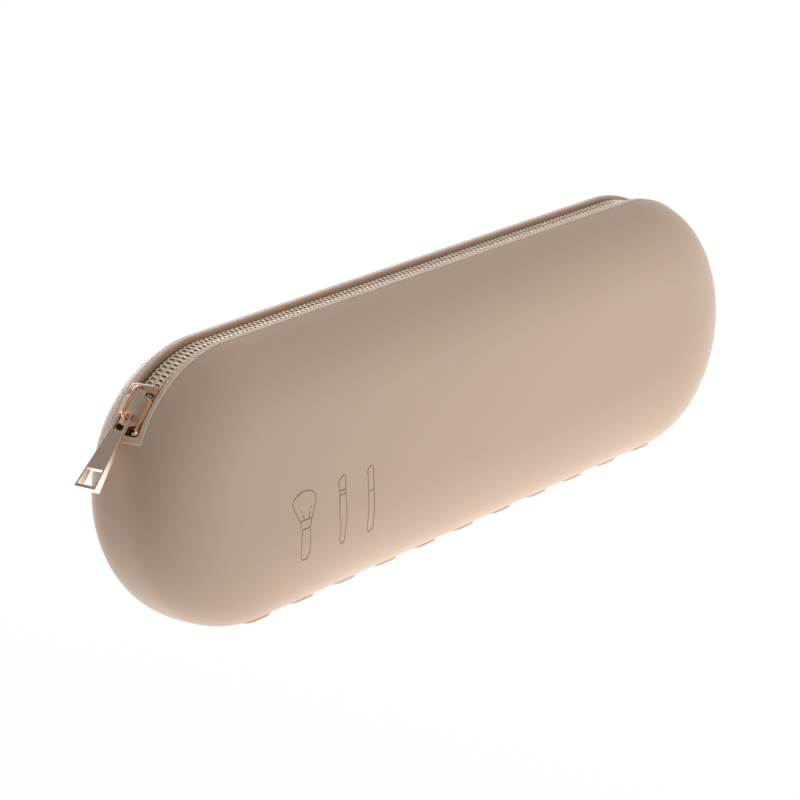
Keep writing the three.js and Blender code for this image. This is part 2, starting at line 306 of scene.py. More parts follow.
def silicone_material(name, base):
    """Matt moulded silicone: soft bloom at grazing angles and a fine satin grain. The engraved lines are
    darkened with painted shade.
    """
    material, nodes, links, shader = new_material(name)
    place = object_coordinates(nodes)
    cloud = noise(nodes, links, 14, 3, 0.5, place)
    low = tuple(c * 0.975 for c in base)
    high = tuple(min(1, c * 1.02) for c in base)
    colour = ramp(nodes, links, cloud, [(0.3, low), (0.7, high)])
    # Painted shade: this mark darkens the colour inside the engraved lines.
    groove_painted_shade = nodes.new("ShaderNodeAttribute")
    groove_painted_shade.attribute_name = "groove_painted_shade"
    mix = nodes.new("ShaderNodeMix")
    mix.data_type = "RGBA"
    links.new(groove_painted_shade.outputs["Fac"], mix.inputs["Factor"])
    links.new(colour, mix.inputs["A"])
    mix.inputs["B"].default_value = (*(c * f for c, f in zip(base, GROOVE_PAINTED_SHADE)), 1)
    links.new(mix.outputs["Result"], shader.inputs["Base Color"])
    grain = noise(nodes, links, 2600, 2, 0.6, place)
    links.new(map_range(nodes, links, cloud, 0.3, 0.7, 0.50, 0.58), shader.inputs["Roughness"])
    links.new(bump(nodes, links, grain, 0.06, 0.05), shader.inputs["Normal"])
    shader.inputs["Specular IOR Level"].default_value = 0.4
    shader.inputs["Sheen Weight"].default_value = 0.5
    shader.inputs["Sheen Roughness"].default_value = 0.35
    shader.inputs["Sheen Tint"].default_value = (1, 0.92, 0.84, 1)
    shader.inputs["Subsurface Weight"].default_value = 0.12
    shader.inputs["Subsurface Radius"].default_value = (1.0, 0.55, 0.35)
    shader.inputs["Subsurface Scale"].default_value = 0.0012
    return material


def plating_material(name, dull, bright, rough):
    """Rose-gold plating with fine wear, whose roughness starts at rough."""
    material, nodes, links, shader = new_material(name)
    place = object_coordinates(nodes)
    patch = noise(nodes, links, 260, 4, 0.6, place)
    colour = ramp(nodes, links, patch, [(0.35, dull), (0.65, bright)])
    links.new(colour, shader.inputs["Base Color"])
    shader.inputs["Metallic"].default_value = 1.0
    links.new(map_range(nodes, links, patch, 0.3, 0.7, rough, rough + 0.08), shader.inputs["Roughness"])
    brushed = noise(nodes, links, 1800, 2, 0.5, place)
    links.new(bump(nodes, links, brushed, 0.04, 0.02), shader.inputs["Normal"])
    return material


def coil_material():
    """Nylon coil with a pale metallised skin."""
    material, nodes, links, shader = new_material("coil")
    place = object_coordinates(nodes)
    patch = noise(nodes, links, 700, 3, 0.6, place)
    colour = ramp(nodes, links, patch, [(0.3, COIL_DULL), (0.7, COIL_BRIGHT)])
    links.new(colour, shader.inputs["Base Color"])
    shader.inputs["Metallic"].default_value = 0.35
    links.new(map_range(nodes, links, patch, 0.3, 0.7, 0.22, 0.36), shader.inputs["Roughness"])
    shader.inputs["Coat Weight"].default_value = 0.3
    shader.inputs["Coat Roughness"].default_value = 0.15
    return material


def tape_material():
    """Tightly woven polyester tape: fine ribs across the tape, threads along it."""
    material, nodes, links, shader = new_material("tape")
    place = object_coordinates(nodes)
    ribs = bands(nodes, links, "X", 480, 0.6, place)
    threads = bands(nodes, links, "Y", 620, 0.8, place)
    weave = arithmetic(nodes, links, "MULTIPLY", ribs, threads)
    fuzz = noise(nodes, links, 900, 3, 0.6, place)
    tone = arithmetic(nodes, links, "MULTIPLY_ADD", weave, 0.6, fuzz)
    colour = ramp(nodes, links, tone, [(0.35, TAPE_DARK), (0.95, TAPE_PALE)])
    links.new(colour, shader.inputs["Base Color"])
    shader.inputs["Roughness"].default_value = 0.92
    shader.inputs["Sheen Weight"].default_value = 0.3
    links.new(bump(nodes, links, weave, 0.6, 0.12), shader.inputs["Normal"])
    return material


MAT_SILICONE = silicone_material("silicone", SILICONE)
# Painted light: the surround is a lighter copy of the shell's silicone, standing for the light its band
# catches.
MAT_FRAME_PAINTED_LIGHT = silicone_material("silicone_frame_painted_light", tuple(FRAME_PAINTED_LIGHT_GAIN * c for c in SILICONE))
MAT_BEAD_PAINTED_HIGHLIGHT = silicone_material("silicone_bead_painted_highlight", BEAD)
MAT_PLATING = plating_material("plating", PLATING_DULL, PLATING_BRIGHT, 0.2)
MAT_SATIN = plating_material("plating_satin", SATIN_DULL, SATIN_BRIGHT, 0.44)
MAT_SHADED_COPPER = plating_material("plating_painted_shade", SHADED_COPPER_DULL, SHADED_COPPER_BRIGHT, 0.1)
MAT_COIL = coil_material()
MAT_TAPE = tape_material()


# ---- Silicone shell ----
def rounded_drop(distance, radius):
    """How far a rounded edge of that radius has fallen, this far outside the edge's line."""
    near = np.clip(radius - distance, 0, radius)
    return radius - np.sqrt(radius**2 - near**2)


def merged_lines(even, special, gap):
    """Grid lines: the even ones that aren't too near a special one, with the special ones."""
    special = np.asarray(special, float)
    kept = [v for v in even if np.min(np.abs(special - v)) > gap]
    return np.unique(np.concatenate([kept, special]))


EDGE_R = 0.16  # radius of the shell's edge round the recess
EDGE_STEPS = (0, 0.02, 0.07, EDGE_R, 0.4)  # grid lines beyond the recess
SLOT_LIP = 1.6  # how far beyond the recess the thick lip round the slot reaches in full
SLOT_LIP_FADE = 3.0  # and over what distance it fades into the wall
SLOT_LIP_RISE = 2.9
TOL = 1e-6
# How many lines the shell's grid has along a straight, round an arc, over the curve of its
# profile and down its flat part, and how near an even line may lie to an edge's line.
STRAIGHT_LINES, ARC_LINES = 76, 105
CURVE_LINES, FLAT_LINES = 38, 11
RUN_GAP, PROFILE_GAP = 0.25, 0.22


def run_lines():
    """Positions of the grid lines all round the outline."""
    top = np.linspace(0, HALF, STRAIGHT_LINES)
    arc = HALF + np.linspace(0, ARC, ARC_LINES)
    base = HALF + ARC + np.linspace(0, HALF, STRAIGHT_LINES)
    even = np.concatenate([top, arc[1:], base[1:]])
    half = merged_lines(even, RECESS_S + np.array(EDGE_STEPS), RUN_GAP)
    return np.concatenate([-half[::-1][:-1], half[:-1]])


def profile_lines():
    """(y, radius) from the middle of the front face over the top to the middle of the back."""
    y = np.concatenate([np.linspace(0, 16, 400), HALF_THICK - np.geomspace(1, 1e-4, 500)])
    y = np.unique(np.clip(y, 0, HALF_THICK))
    r = END_R - inset(y)
    length = np.concatenate([[0], np.cumsum(np.hypot(np.diff(y), np.diff(r)))])
    even_y = np.interp(np.linspace(0, length[-1], CURVE_LINES), length, y)
    curve = merged_lines(even_y, RECESS_Y + np.array(EDGE_STEPS), PROFILE_GAP)[::-1]
    curve = np.concatenate([[HALF_THICK], curve[curve < HALF_THICK - 1e-3]])
    flat_r = np.linspace(0, END_R - SHOULDER, FLAT_LINES)[:-1]
    front = [(-HALF_THICK, r) for r in flat_r] + [(-v, END_R - inset(v)) for v in curve]
    back = [(-v, r) for v, r in front[:-1]][::-1]
    return np.array(front + back, float)


def shell_skins(runs, profile):
    """Points of the outer and of the inner face, row by row."""
    s, y = np.meshgrid(runs, profile[:, 0])
    r = np.repeat(profile[:, 1][:, None], len(runs), 1)
    beyond = np.hypot(np.maximum(np.abs(s) - RECESS_S, 0), np.maximum(np.abs(y) - RECESS_Y, 0))
    curved = np.abs(y) < HALF_THICK - 1e-3
    r_out = np.where(curved, r - rounded_drop(beyond, EDGE_R), r)
    # Inner face: the same outline a wall's thickness in, with a thick lip round the slot.
    k_y = (HALF_THICK - WALL) / HALF_THICK
    r_in = np.where(curved, (END_R - WALL) - (END_R - r) * (SHOULDER - WALL) / SHOULDER, r)
    lip = np.clip((beyond - SLOT_LIP) / SLOT_LIP_FADE, 0, 1)
    lip_r = LIP_R + SLOT_LIP_RISE * lip * lip * (3 - 2 * lip)
    r_in = np.where(curved, np.minimum(r_in, lip_r), r_in)
    return on_zip(s, y, r_out).reshape(-1, 3), on_zip(s, y * k_y, r_in).reshape(-1, 3)


def skin_faces(runs, profile):
    """Faces of the outer and the inner face, left open over the recess."""
    columns, rows = len(runs), len(profile)
    count = rows * columns
    in_s = np.abs(runs) < RECESS_S + TOL
    in_y = np.abs(profile[:, 0]) < RECESS_Y + TOL
    outer_faces, inner_faces = [], []
    for j in range(rows - 1):
        for i in range(columns):
            k = (i + 1) % columns
            if in_y[j] and in_y[j + 1] and in_s[i] and in_s[k]:
                continue
            a, b = j * columns + i, j * columns + k
            outer_faces.append((a, b, b + columns, a + columns))
            inner_faces.append(tuple(count + v for v in (a, a + columns, b + columns, b)))
    return outer_faces + inner_faces


def recess_loop(runs, profile):
    """(row, column) of the grid's points round the recess, in order."""
    in_s = np.flatnonzero(np.abs(runs) < RECESS_S + TOL)
    in_y = np.flatnonzero(np.abs(profile[:, 0]) < RECESS_Y + TOL)
    loop = [(in_y[0], i) for i in in_s]
    loop += [(j, in_s[-1]) for j in in_y[1:]]
    loop += [(in_y[-1], i) for i in in_s[::-1][1:]]
    loop += [(j, in_s[0]) for j in in_y[::-1][1:-1]]
    return loop


def shell_surfaces():
    """Points and faces of the whole moulding: both skins, joined round the recess."""
    runs, profile = run_lines(), profile_lines()
    outer, inner = shell_skins(runs, profile)
    count = len(outer)
    loop = recess_loop(runs, profile)
    ring = np.array([j * len(runs) + i for j, i in loop])
    s = np.array([runs[i] for _, i in loop])
    y = np.array([profile[j, 0] for j, _ in loop])
    # Loops down the recess's wall, over its ledge and through the slot to the inner face.
    loops = []
    for s_to, y_to, radius in (
        (RECESS_S, RECESS_Y, LEDGE_R),
        (SLOT_S, SLOT_Y, LEDGE_R),
        (SLOT_S, SLOT_Y, LIP_R),
    ):
        loops.append(on_zip(s * s_to / RECESS_S, y * y_to / RECESS_Y, radius))
    order = [ring]
    order += [2 * count + k * len(loop) + np.arange(len(loop)) for k in range(len(loops))]
    order += [ring + count]
    faces = skin_faces(runs, profile)
    for a, b in zip(order, order[1:]):
        for i in range(len(loop)):
            k = (i + 1) % len(loop)
            faces.append((a[i], a[k], b[k], b[i]))
    return np.concatenate([outer, inner] + loops), faces


# ---- Engraved brush outlines ----
PATH_STEPS = 10  # points from one given point to the next
LEAN_Z = -12  # height at which a leaning brush stands at its x


def smooth_path(points):
    """A Catmull-Rom curve through the points."""
    p = [np.array(v, float) for v in points]
    out = []
    for i in range(len(p) - 1):
        a, b, c, d = p[max(i - 1, 0)], p[i], p[i + 1], p[min(i + 2, len(p) - 1)]
        square = 2 * a - 5 * b + 4 * c - d
        cube = 3 * b - a - 3 * c + d
        for t in np.arange(PATH_STEPS) / PATH_STEPS:
            out.append(0.5 * (2 * b + (c - a) * t + square * t**2 + cube * t**3))
    out.append(p[-1])
    return np.array(out)


def brush(x, lean, curves, straights):
    """The (x, z) lines of one brush that stands at x: smooth curves and straight strokes."""
    lines = [smooth_path(points) for points in curves]
    lines += [np.array(points, float) for points in straights]
    for path in lines:
        path[:, 0] += x + lean * (path[:, 1] - LEAN_Z)
    return lines


def powder_brush():
    """A domed head on a tapered ferrule and a round-ended handle."""
    head = [(-1.85, -11.05), (-3.2, -8.4), (-4.25, -6.3), (-3.5, -4.9), (-1.0, -3.85),
            (1.6, -4.0), (3.45, -5.1), (3.95, -6.6), (3.3, -8.6), (2.35, -11.05)]
    handle = [(-1.25, -13.3), (-1.4, -16), (-1.5, -19.4), (-1.25, -20.6), (-0.4, -21.15),
              (0.7, -20.9), (1.45, -19.7), (1.65, -17), (1.5, -13.3)]
    ferrule = [(-1.85, -11.05), (-1.1, -13.3), (1.5, -13.3), (2.35, -11.05)]
    rim = [(-1.85, -11.05), (2.35, -11.05)]
    bristles = [
        [(-0.4, -10.9), (-0.75, -9.7)],
        [(1.15, -10.9), (1.55, -9.5)],
        [(-1.25, -8.7), (-1.35, -8.35)],
        [(2.0, -8.6), (2.1, -8.2)],
    ]
    return brush(-68.75, 0.07, [head, handle], [rim, ferrule, *bristles])


def angled_brush():
    """A small angled head over two ferrule lines and a waisted handle."""
    head = [(-1.15, -7.45), (-1.3, -5.2), (-0.6, -4.5), (0.0, -3.95), (1.0, -4.05),
            (1.15, -5.6), (1.15, -7.45)]
    handle = [(-1.15, -7.45), (-1.1, -8.5), (-1.2, -11.5), (-1.15, -14.2), (-0.75, -16.5),
              (-1.0, -19.6), (-0.75, -20.7), (-0.2, -21.1), (0.45, -20.7), (0.75, -19.6),
              (1.0, -16.5), (1.35, -13.8), (1.2, -11.0), (1.1, -8.5), (1.15, -7.45)]
    lines = [[(-1.15, z), (1.15, z)] for z in (-7.45, -8.5)]
    return brush(-55.2, 0.08, [head, handle], lines)


def stick():
    """A plain two-part stick."""
    head = [(-1.1, -10.55), (-1.05, -7.0), (-1.25, -5.4), (-0.75, -4.6), (0.05, -4.25),
            (0.8, -4.6), (1.05, -5.6), (1.0, -7.0), (1.15, -10.55)]
    handle = [(-1.1, -10.55), (-0.95, -15.5), (-1.15, -19.2), (-0.9, -20.5), (-0.3, -21.1),
              (0.5, -20.8), (1.05, -19.9), (1.15, -18.6), (1.2, -15.0), (1.15, -10.55)]
    return brush(-44.85, 0.10, [head, handle], [[(-1.1, -10.55), (1.15, -10.55)]])


GROOVE_HALF = 0.17
GROOVE_DEPTH = 0.30
GROOVE_SHADE_GAIN = 1.25  # how strongly the painted shade shows for each share of the full depth, up to 1
FINE_REACH = 1.15  # faces this near a stroke are cut into finer ones
FINE_CUTS = 11
# The engraving lies within this part of the front face. Faces and points with a smaller y
# than these two are on the front face.
ENGRAVED_X = (-75, -38)
ENGRAVED_Z = (-23, -2)
FACE_FRONT_Y = -15.0
POINT_FRONT_Y = -14.9


def distance_to_strokes(xz, strokes):
    """Distance from each point to the nearest stroke."""
    best = np.full(len(xz), np.inf)
    for path in strokes:
        for a, b in zip(path, path[1:]):
            ab = b - a
            length2 = max(float(ab @ ab), 1e-12)
            t = np.clip(((xz - a) @ ab) / length2, 0, 1)
            best = np.minimum(best, np.linalg.norm(xz - a - t[:, None] * ab, axis=1))
    return best


def refine(bm, strokes):
    """Cuts the front's faces along the strokes into finer ones."""
    front = []
    for face in bm.faces:
        if face.calc_center_median().y < FACE_FRONT_Y * MM and face.normal.y < -0.5:
            front.append(face)
    middle = np.array([f.calc_center_median() for f in front]) * TO_MM
    near = distance_to_strokes(np.stack([middle[:, 0], middle[:, 2] - AXIS_Z], 1), strokes)
    edges = {e for f, d in zip(front, near) if d < FINE_REACH for e in f.edges}
    bmesh.ops.subdivide_edges(bm, edges=list(edges), cuts=FINE_CUTS, use_grid_fill=True)
    bm.verts.ensure_lookup_table()


def engrave(obj):
    """Cuts the brush outlines into the front, and marks their depth for the material, which paints shade
    into them.
    """
    strokes = powder_brush() + angled_brush() + stick()
    bm = bmesh.new()
    bm.from_mesh(obj.data)
    refine(bm, strokes)
    co = np.array([v.co for v in bm.verts]) * TO_MM
    x, z = co[:, 0], co[:, 2] - AXIS_Z
    inside = (co[:, 1] < POINT_FRONT_Y) & (ENGRAVED_X[0] < x) & (x < ENGRAVED_X[1])
    inside &= (ENGRAVED_Z[0] < z) & (z < ENGRAVED_Z[1])
    box = np.flatnonzero(inside)
    xz = np.stack([x[box], z[box]], 1)
    y = -side_of(np.minimum(END_R - np.abs(xz[:, 1]), SHOULDER))
    cut = np.clip(1 - (distance_to_strokes(xz, strokes) / GROOVE_HALF) ** 2, 0, 1) ** 1.5
    # The inner face lies a wall's thickness behind and is left alone.
    outer = co[box, 1] < y + 1.0
    # The mark's strength sets how much painted shade the material puts in each groove.
    layer = bm.verts.layers.float.new("groove_painted_shade")
    bm.verts.ensure_lookup_table()
    for k, is_outer, new_y, c in zip(box, outer, y, cut):
        if is_outer:
            v = bm.verts[k]
            v.co.y = (new_y + GROOVE_DEPTH * c) * MM
            v[layer] = float(min(1, GROOVE_SHADE_GAIN * c))
    bm.to_mesh(obj.data)
    bm.free()
    obj.data.update()


def make_shell():
    """The hollow silicone moulding with its engraved brushes."""
    points, faces = shell_surfaces()
    obj = piece("silicone_shell", points, faces, MAT_SILICONE, "pouch")
    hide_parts("pouch_shell")
    clean(obj)
    engrave(obj)
    obj.data.shade_smooth()


# ---- Base pads ----
PAD_COUNT = 11
PAD_PITCH = 15.6
PAD_ROW_CENTRE = 2.0
PAD_HALF_LENGTH = 5
PAD_HALF_WIDTH = 6
PAD_SIDES = 48
# How far in each ring of a pad lies, and its height: down the side, then over the underside.
PAD_RINGS = ((0.0, 2.2), (0.0, 0.18), (0.05, 0.06), (0.18, 0.0), (1.6, 0.0), (3.2, 0.0), (4.6, 0.0))


def make_pads():
    """Low pads with rounded corners, in a row along the base."""
    points, faces = [], []
    a = np.array(circle(PAD_SIDES))
    rounded = lambda v: np.sign(v) * np.abs(v) ** 0.5
    for pad in range(PAD_COUNT):
        x = PAD_ROW_CENTRE + (pad - PAD_COUNT // 2) * PAD_PITCH
        faces += rod_faces(len(PAD_RINGS), PAD_SIDES, len(points))
        for inward, z in PAD_RINGS:
            half_length = PAD_HALF_LENGTH - inward
            half_width = PAD_HALF_WIDTH - inward * PAD_HALF_WIDTH / PAD_HALF_LENGTH
            for c, s in zip(rounded(np.cos(a)), rounded(np.sin(a))):
                points.append((x + half_length * c, half_width * s, z))
    clean(piece("base_pads", points, faces, MAT_SILICONE, "pouch"))


# ---- Surround ----
LONG_STEPS = 260
SHORT_STEPS = 14
CORNER_STEPS = 5


def rounded_rectangle(b, a, radius):
    """Loop of (s, y) points round a rectangle of half-length b and half-width a."""
    out = []
    for k, (cx, cy) in enumerate(((1, 1), (-1, 1), (-1, -1), (1, -1))):
        centre = (cx * (b - radius), cy * (a - radius))
        for q in np.linspace(0, math.pi / 2, CORNER_STEPS + 1):
            angle = q + k * math.pi / 2
            out.append((centre[0] + radius * math.cos(angle), centre[1] + radius * math.sin(angle)))
        nx, ny = ((-1, 1), (-1, -1), (1, -1), (1, 1))[k]
        if k % 2 == 0:
            end, steps = (nx * (b - radius), cy * a), LONG_STEPS
        else:
            end, steps = (cx * b, ny * (a - radius)), SHORT_STEPS
        start = out[-1]
        for t in np.linspace(0, 1, steps + 1)[1:-1]:
            out.append((start[0] + (end[0] - start[0]) * t, start[1] + (end[1] - start[1]) * t))
    return np.array(out)


PROUD = 0.07  # how far the surround's outer edge stands above the shell
SURROUND_EDGE = 0.14  # radius of its outer edge
SURROUND_LIP = 0.75  # radius of its inner edge, over the zip
SURROUND_FOOT_R = 33.65
SURROUND_INNER_R = 34.6
CORNER_OUT, CORNER_MORE = 0.35, 0.75  # its outer corner, and how much rounder the inner one is
BEAD_SIDES = 8
BEAD_OUT = 0.03
BEAD_CORNER = 0.4
BEAD_HALF_WIDTH = 0.25
BEAD_HALF_HEIGHT = 0.19
BEAD_LIFT = 0.01


def surround_section():
    """Steps of (distance inwards, drop below the outline, radius where the drop is None)."""
    width = SURROUND_Y - OPENING_Y
    edge, lip = SURROUND_EDGE, SURROUND_LIP
    steps = [(0.0, None, SURROUND_FOOT_R), (0.0, edge - PROUD, 0)]
    for t in (0.5, 1.0, math.pi / 2):
        steps.append((edge * (1 - math.cos(t)), edge * (1 - math.sin(t)) - PROUD, 0))
    steps.append((0.45, -0.6 * PROUD, 0))
    steps.append((width - lip - 0.25, 0.0, 0))
    for t in np.linspace(0, math.pi / 2, 9):
        steps.append((width - lip * (1 - math.sin(t)), lip * (1 - math.cos(t)), 0))
    return steps + [(width, None, SURROUND_INNER_R), (width, None, SURROUND_FOOT_R)]


def make_surround():
    """The silicone frame round the zip."""
    loops = []
    for inward, drop, radius in surround_section():
        share = inward / (SURROUND_Y - OPENING_Y)
        half_length = SURROUND_S - share * (SURROUND_S - OPENING_S)
        corner = CORNER_OUT + CORNER_MORE * share
        loop = rounded_rectangle(half_length, SURROUND_Y - inward, corner)
        r = radius if drop is None else END_R - inset(loop[:, 1]) - drop
        loops.append(on_zip(loop[:, 0], loop[:, 1], r))
    faces = ring_faces(len(loops), len(loops[0]))
    obj = piece("zip_frame", np.concatenate(loops), faces, MAT_FRAME_PAINTED_LIGHT, "pouch")
    clean(obj)
    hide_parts("zip_surround")


def make_bead():
    """The fine raised line of flash where the surround is bonded to the shell, coloured pale as a
    painted highlight.
    """
    loop = rounded_rectangle(SURROUND_S + BEAD_OUT, SURROUND_Y + BEAD_OUT, BEAD_CORNER)
    level = END_R - inset(loop[:, 1])
    flow = unit(np.roll(loop, -1, 0) - np.roll(loop, 1, 0))
    loops = []
    for a in circle(BEAD_SIDES):
        shift = BEAD_HALF_WIDTH * math.cos(a)
        at = loop + shift * np.stack([flow[:, 1], -flow[:, 0]], 1)
        rise = BEAD_LIFT + BEAD_HALF_HEIGHT * math.sin(a)
        loops.append(on_zip(at[:, 0], at[:, 1], level + rise))
    faces = ring_faces(BEAD_SIDES, len(loop))
    clean(piece("frame_bead", np.concatenate(loops), faces, MAT_BEAD_PAINTED_HIGHLIGHT, "pouch"))


# ---- Tapes and coil ----
# With the slider fully travelled, the rows part at OPEN_START_S and leave its mouth at
# MOUTH_END_S.
OPEN_START_S = -(HALF + END_R * math.radians(10.6))
MOUTH_END_S = -(HALF + END_R * math.radians(21.0))
COIL_END_S = HALF + END_R * math.radians(54.6)
TEETH = int(round(2 * COIL_END_S / PITCH))
TOOTH = 2 * COIL_END_S / TEETH  # the pitch, to fit a whole number of teeth
# The slider's divider starts to part the rows at this many degrees down the end arc.
PART_FROM = 43.0
PART_OVER = 8.0
PART_WIDTH = 1.05
TAPE_INNER_Y = 0.42
TAPE_PARTING = 0.75
TAPE_STEP = 1.1
TAPE_END_GAP = 0.3
TAPE_SHARES = (0.0, 0.05, 0.3, 0.5, 0.7, 0.9, 1.0)  # of the tape's width, from its inner edge


def parting(s):
    """How far the slider's divider holds each row off the middle."""
    deg = np.degrees((-np.asarray(s, float) - HALF) / END_R)
    t = np.clip((deg - PART_FROM) / PART_OVER, 0, 1)
    return PART_WIDTH * t * t * (3 - 2 * t)


def make_tape(side, name, s1, s2, replaced=None):
    """A length of one tape, from run s1 to s2."""
    runs = np.linspace(s1, s2, max(2, int(abs(s2 - s1) / TAPE_STEP)))
    inner = TAPE_INNER_Y + TAPE_PARTING * parting(runs) / PART_WIDTH
    loops = []
    for level, shares in ((TAPE_TOP_R, TAPE_SHARES), (TAPE_R, TAPE_SHARES[::-1])):
        for t in shares:
            loops.append(on_zip(runs, side * (inner + (SURROUND_Y - inner) * t), level))
    rows, count = len(loops), len(runs)
    faces = grid_faces(rows, count)
    last = (rows - 1) * count
    faces += [(last + i, last + i + 1, i + 1, i) for i in range(count - 1)]
    faces += [tuple(column + k * count for k in range(rows)) for column in (0, count - 1)]
    obj = piece(name, np.concatenate(loops), faces, MAT_TAPE, "pouch", smooth=False)
    clean(obj)
    if replaced:
        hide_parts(replaced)
    return obj


LEG_LEAN = 0.66  # share of a pitch that an upper leg leans by
WIRE_STEPS = 20  # points in one turn of the coil
WIRE_SIDES = 8
COIL_MID_Y = 1.32
COIL_REACH = 1.30
COIL_OUTER_Y = 2.75
COIL_RISE = 0.2
WIRE_WIDE, WIRE_TALL = 0.34, 0.24  # half-width and half-height
HEAD_WIDER, HEAD_TALLER = 0.06, 0.03
CORD_Y = 2.62
CORD_OUTER_Y = 2.85
CORD_R = 34.46
CORD_STEPS = 6  # points in one pitch
CORD_FLAT = 0.8  # height over width
CORD_THICK, CORD_SWELL = 0.27, 0.05
CORD_SWAY, CORD_DIP = 0.06, 0.09


def coil_runs(side, first_tooth, last_tooth):
    """Runs along one row's helix, and the angle round it at each.

    The angle goes over the top from the outer bend to the head and back underneath. The
    upper legs of both rows lean the same way, and the heads of one row lie between the
    other's."""
    phi = np.arange((last_tooth - first_tooth) * WIRE_STEPS + 1) / WIRE_STEPS
    angle = 2 * math.pi * (phi % 1.0)
    advance = phi - (0.5 - LEG_LEAN) * (1 - np.cos(angle)) / 2
    tooth = first_tooth + advance
    if side > 0:
        tooth = last_tooth + 2 * LEG_LEAN - 0.5 - advance
    return np.clip(-COIL_END_S + tooth * TOOTH, -COIL_END_S, COIL_END_S), angle


def coil_wire(side, s, angle):
    """A flattened monofilament helix with swollen heads at the middle."""
    y = np.minimum(COIL_MID_Y + COIL_REACH * np.cos(angle) + parting(s), COIL_OUTER_Y)
    centre = on_zip(s, side * y, COIL_MID_R + COIL_RISE * np.sin(angle))
    tangent = unit(np.gradient(centre, axis=0))
    across = unit(np.cross(tangent, zip_outward(s)))
    up = np.cross(across, tangent)
    head = np.clip(-np.cos(angle), 0, 1) ** 3
    wide = (WIRE_WIDE + HEAD_WIDER * head)[:, None]
    tall = (WIRE_TALL + HEAD_TALLER * head)[:, None]
    loops = [centre + across * wide * math.cos(a) + up * tall * math.sin(a) for a in circle(WIRE_SIDES)]
    return np.stack(loops, 1).reshape(-1, 3), rod_faces(len(s), WIRE_SIDES)


def sewing_cord(side, start, stop):
    """The cord that lies over the outer bends and dips between them."""
    run = np.linspace(start, stop, max(4, int((stop - start) / TOOTH * CORD_STEPS)))
    beat = 2 * math.pi * (run + COIL_END_S) / TOOTH
    y = (CORD_Y + CORD_SWAY * np.sin(beat) + parting(run)).clip(0, CORD_OUTER_Y)
    spine = on_zip(run, side * y, CORD_R + CORD_DIP * np.cos(beat))
    aside = np.array([0.0, 1.0, 0.0])
    out = zip_outward(run) * CORD_FLAT
    thick = (CORD_THICK + CORD_SWELL * np.cos(beat))[:, None]
    loops = [spine + thick * (aside * math.cos(a) + out * math.sin(a)) for a in circle(WIRE_SIDES)]
    return np.stack(loops, 1).reshape(-1, 3), rod_faces(len(run), WIRE_SIDES)


def make_coil(side, name, first_tooth, last_tooth, replaced=None):
    """A length of one row of coil, with its sewing cord."""
    s, angle = coil_runs(side, first_tooth, last_tooth)
    points, faces = gather([coil_wire(side, s, angle), sewing_cord(side, s.min(), s.max())])
    obj = piece(name, points, faces, MAT_COIL, "pouch")
    clean(obj)
    if replaced:
        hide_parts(replaced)
    return obj


def make_zip():
    """Both rows and tapes: the closed chain, the length in the slider's mouth and the end."""
    split, mouth = (int(round((s + COIL_END_S) / TOOTH)) for s in (OPEN_START_S, MOUTH_END_S))
    at = lambda tooth: -COIL_END_S + tooth * TOOTH
    tape_end = SURROUND_S - TAPE_END_GAP
    for side, word in ((-1, "front"), (1, "back")):
        make_coil(side, f"coil_{word}", split, TEETH - 1, f"zip_coil_{word}")
        make_tape(side, f"tape_{word}", at(split), tape_end, f"zip_tape_{word}")
        for loose, keep in (
            (make_coil(side, f"coil_{word}_mouth", mouth, split), 0.8),
            (make_tape(side, f"tape_{word}_mouth", at(mouth), at(split)), 0.8),
            (make_coil(side, f"coil_{word}_end", 0, mouth), 0.55),
            (make_tape(side, f"tape_{word}_end", -tape_end, at(mouth)), 0.55),
        ):
            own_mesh(loose)


# ---- Slider, pull tab and stops ----
def prism(outline, low, high, axis=2):
    """Points and faces of an outline extruded along an axis."""
    n = len(outline)
    points = [list(p[:axis]) + [level] + list(p[axis:]) for level in (low, high) for p in outline]
    faces = [tuple(range(n))[::-1], tuple(range(n, 2 * n))]
    faces += [(i, (i + 1) % n, n + (i + 1) % n, n + i) for i in range(n)]
    return points, faces


def mirrored(half):
    """The whole outline, from the half at +y."""
    return [*half, *[(x, -y) for x, y in reversed(half)]]


TUBE_SIDES = 16
TUBE_POWER = 0.7  # below 1, the section is squarer than an ellipse


def tube(path, half_y, half_n):
    """A flat wire that follows an (x, z) path, with a rounded oblong section."""
    path = np.array(path, float)
    points = []
    for (x, z), (tx, tz) in zip(path, unit(np.gradient(path, axis=0))):
        for k in range(TUBE_SIDES):
            a = 2 * math.pi * (k + 0.5) / TUBE_SIDES
            u = half_y * math.copysign(abs(math.cos(a)) ** TUBE_POWER, math.cos(a))
            v = half_n * math.copysign(abs(math.sin(a)) ** TUBE_POWER, math.sin(a))
            points.append((x - tz * v, u, z + tx * v))
    return points, rod_faces(len(path), TUBE_SIDES)


def paint_side_shade(obj, matrix, limit, both=True):
    """Faces that look along the matrix's y take the copper tone, a painted shade for the darker
    reflections that side faces show, to either side or, with both false, only to +y."""
    obj.data.materials.append(MAT_SHADED_COPPER)
    across = matrix.to_3x3() @ Vector((0, 1, 0))
    for face in obj.data.polygons:
        lean = face.normal.dot(across)
        if lean > limit or (both and -lean > limit):
            face.material_index = 1


def metal(name, parts, matrix, body, edge, segments, angle=25, material=MAT_PLATING):
    """A cast piece with rounded edges. The edge's width is in mm, the angle in degrees."""
    points, faces = gather(parts)
    obj = piece(name, points, faces, material, body, matrix=matrix)
    clean(obj)
    bevel(obj, edge, segments, angle)
    return obj


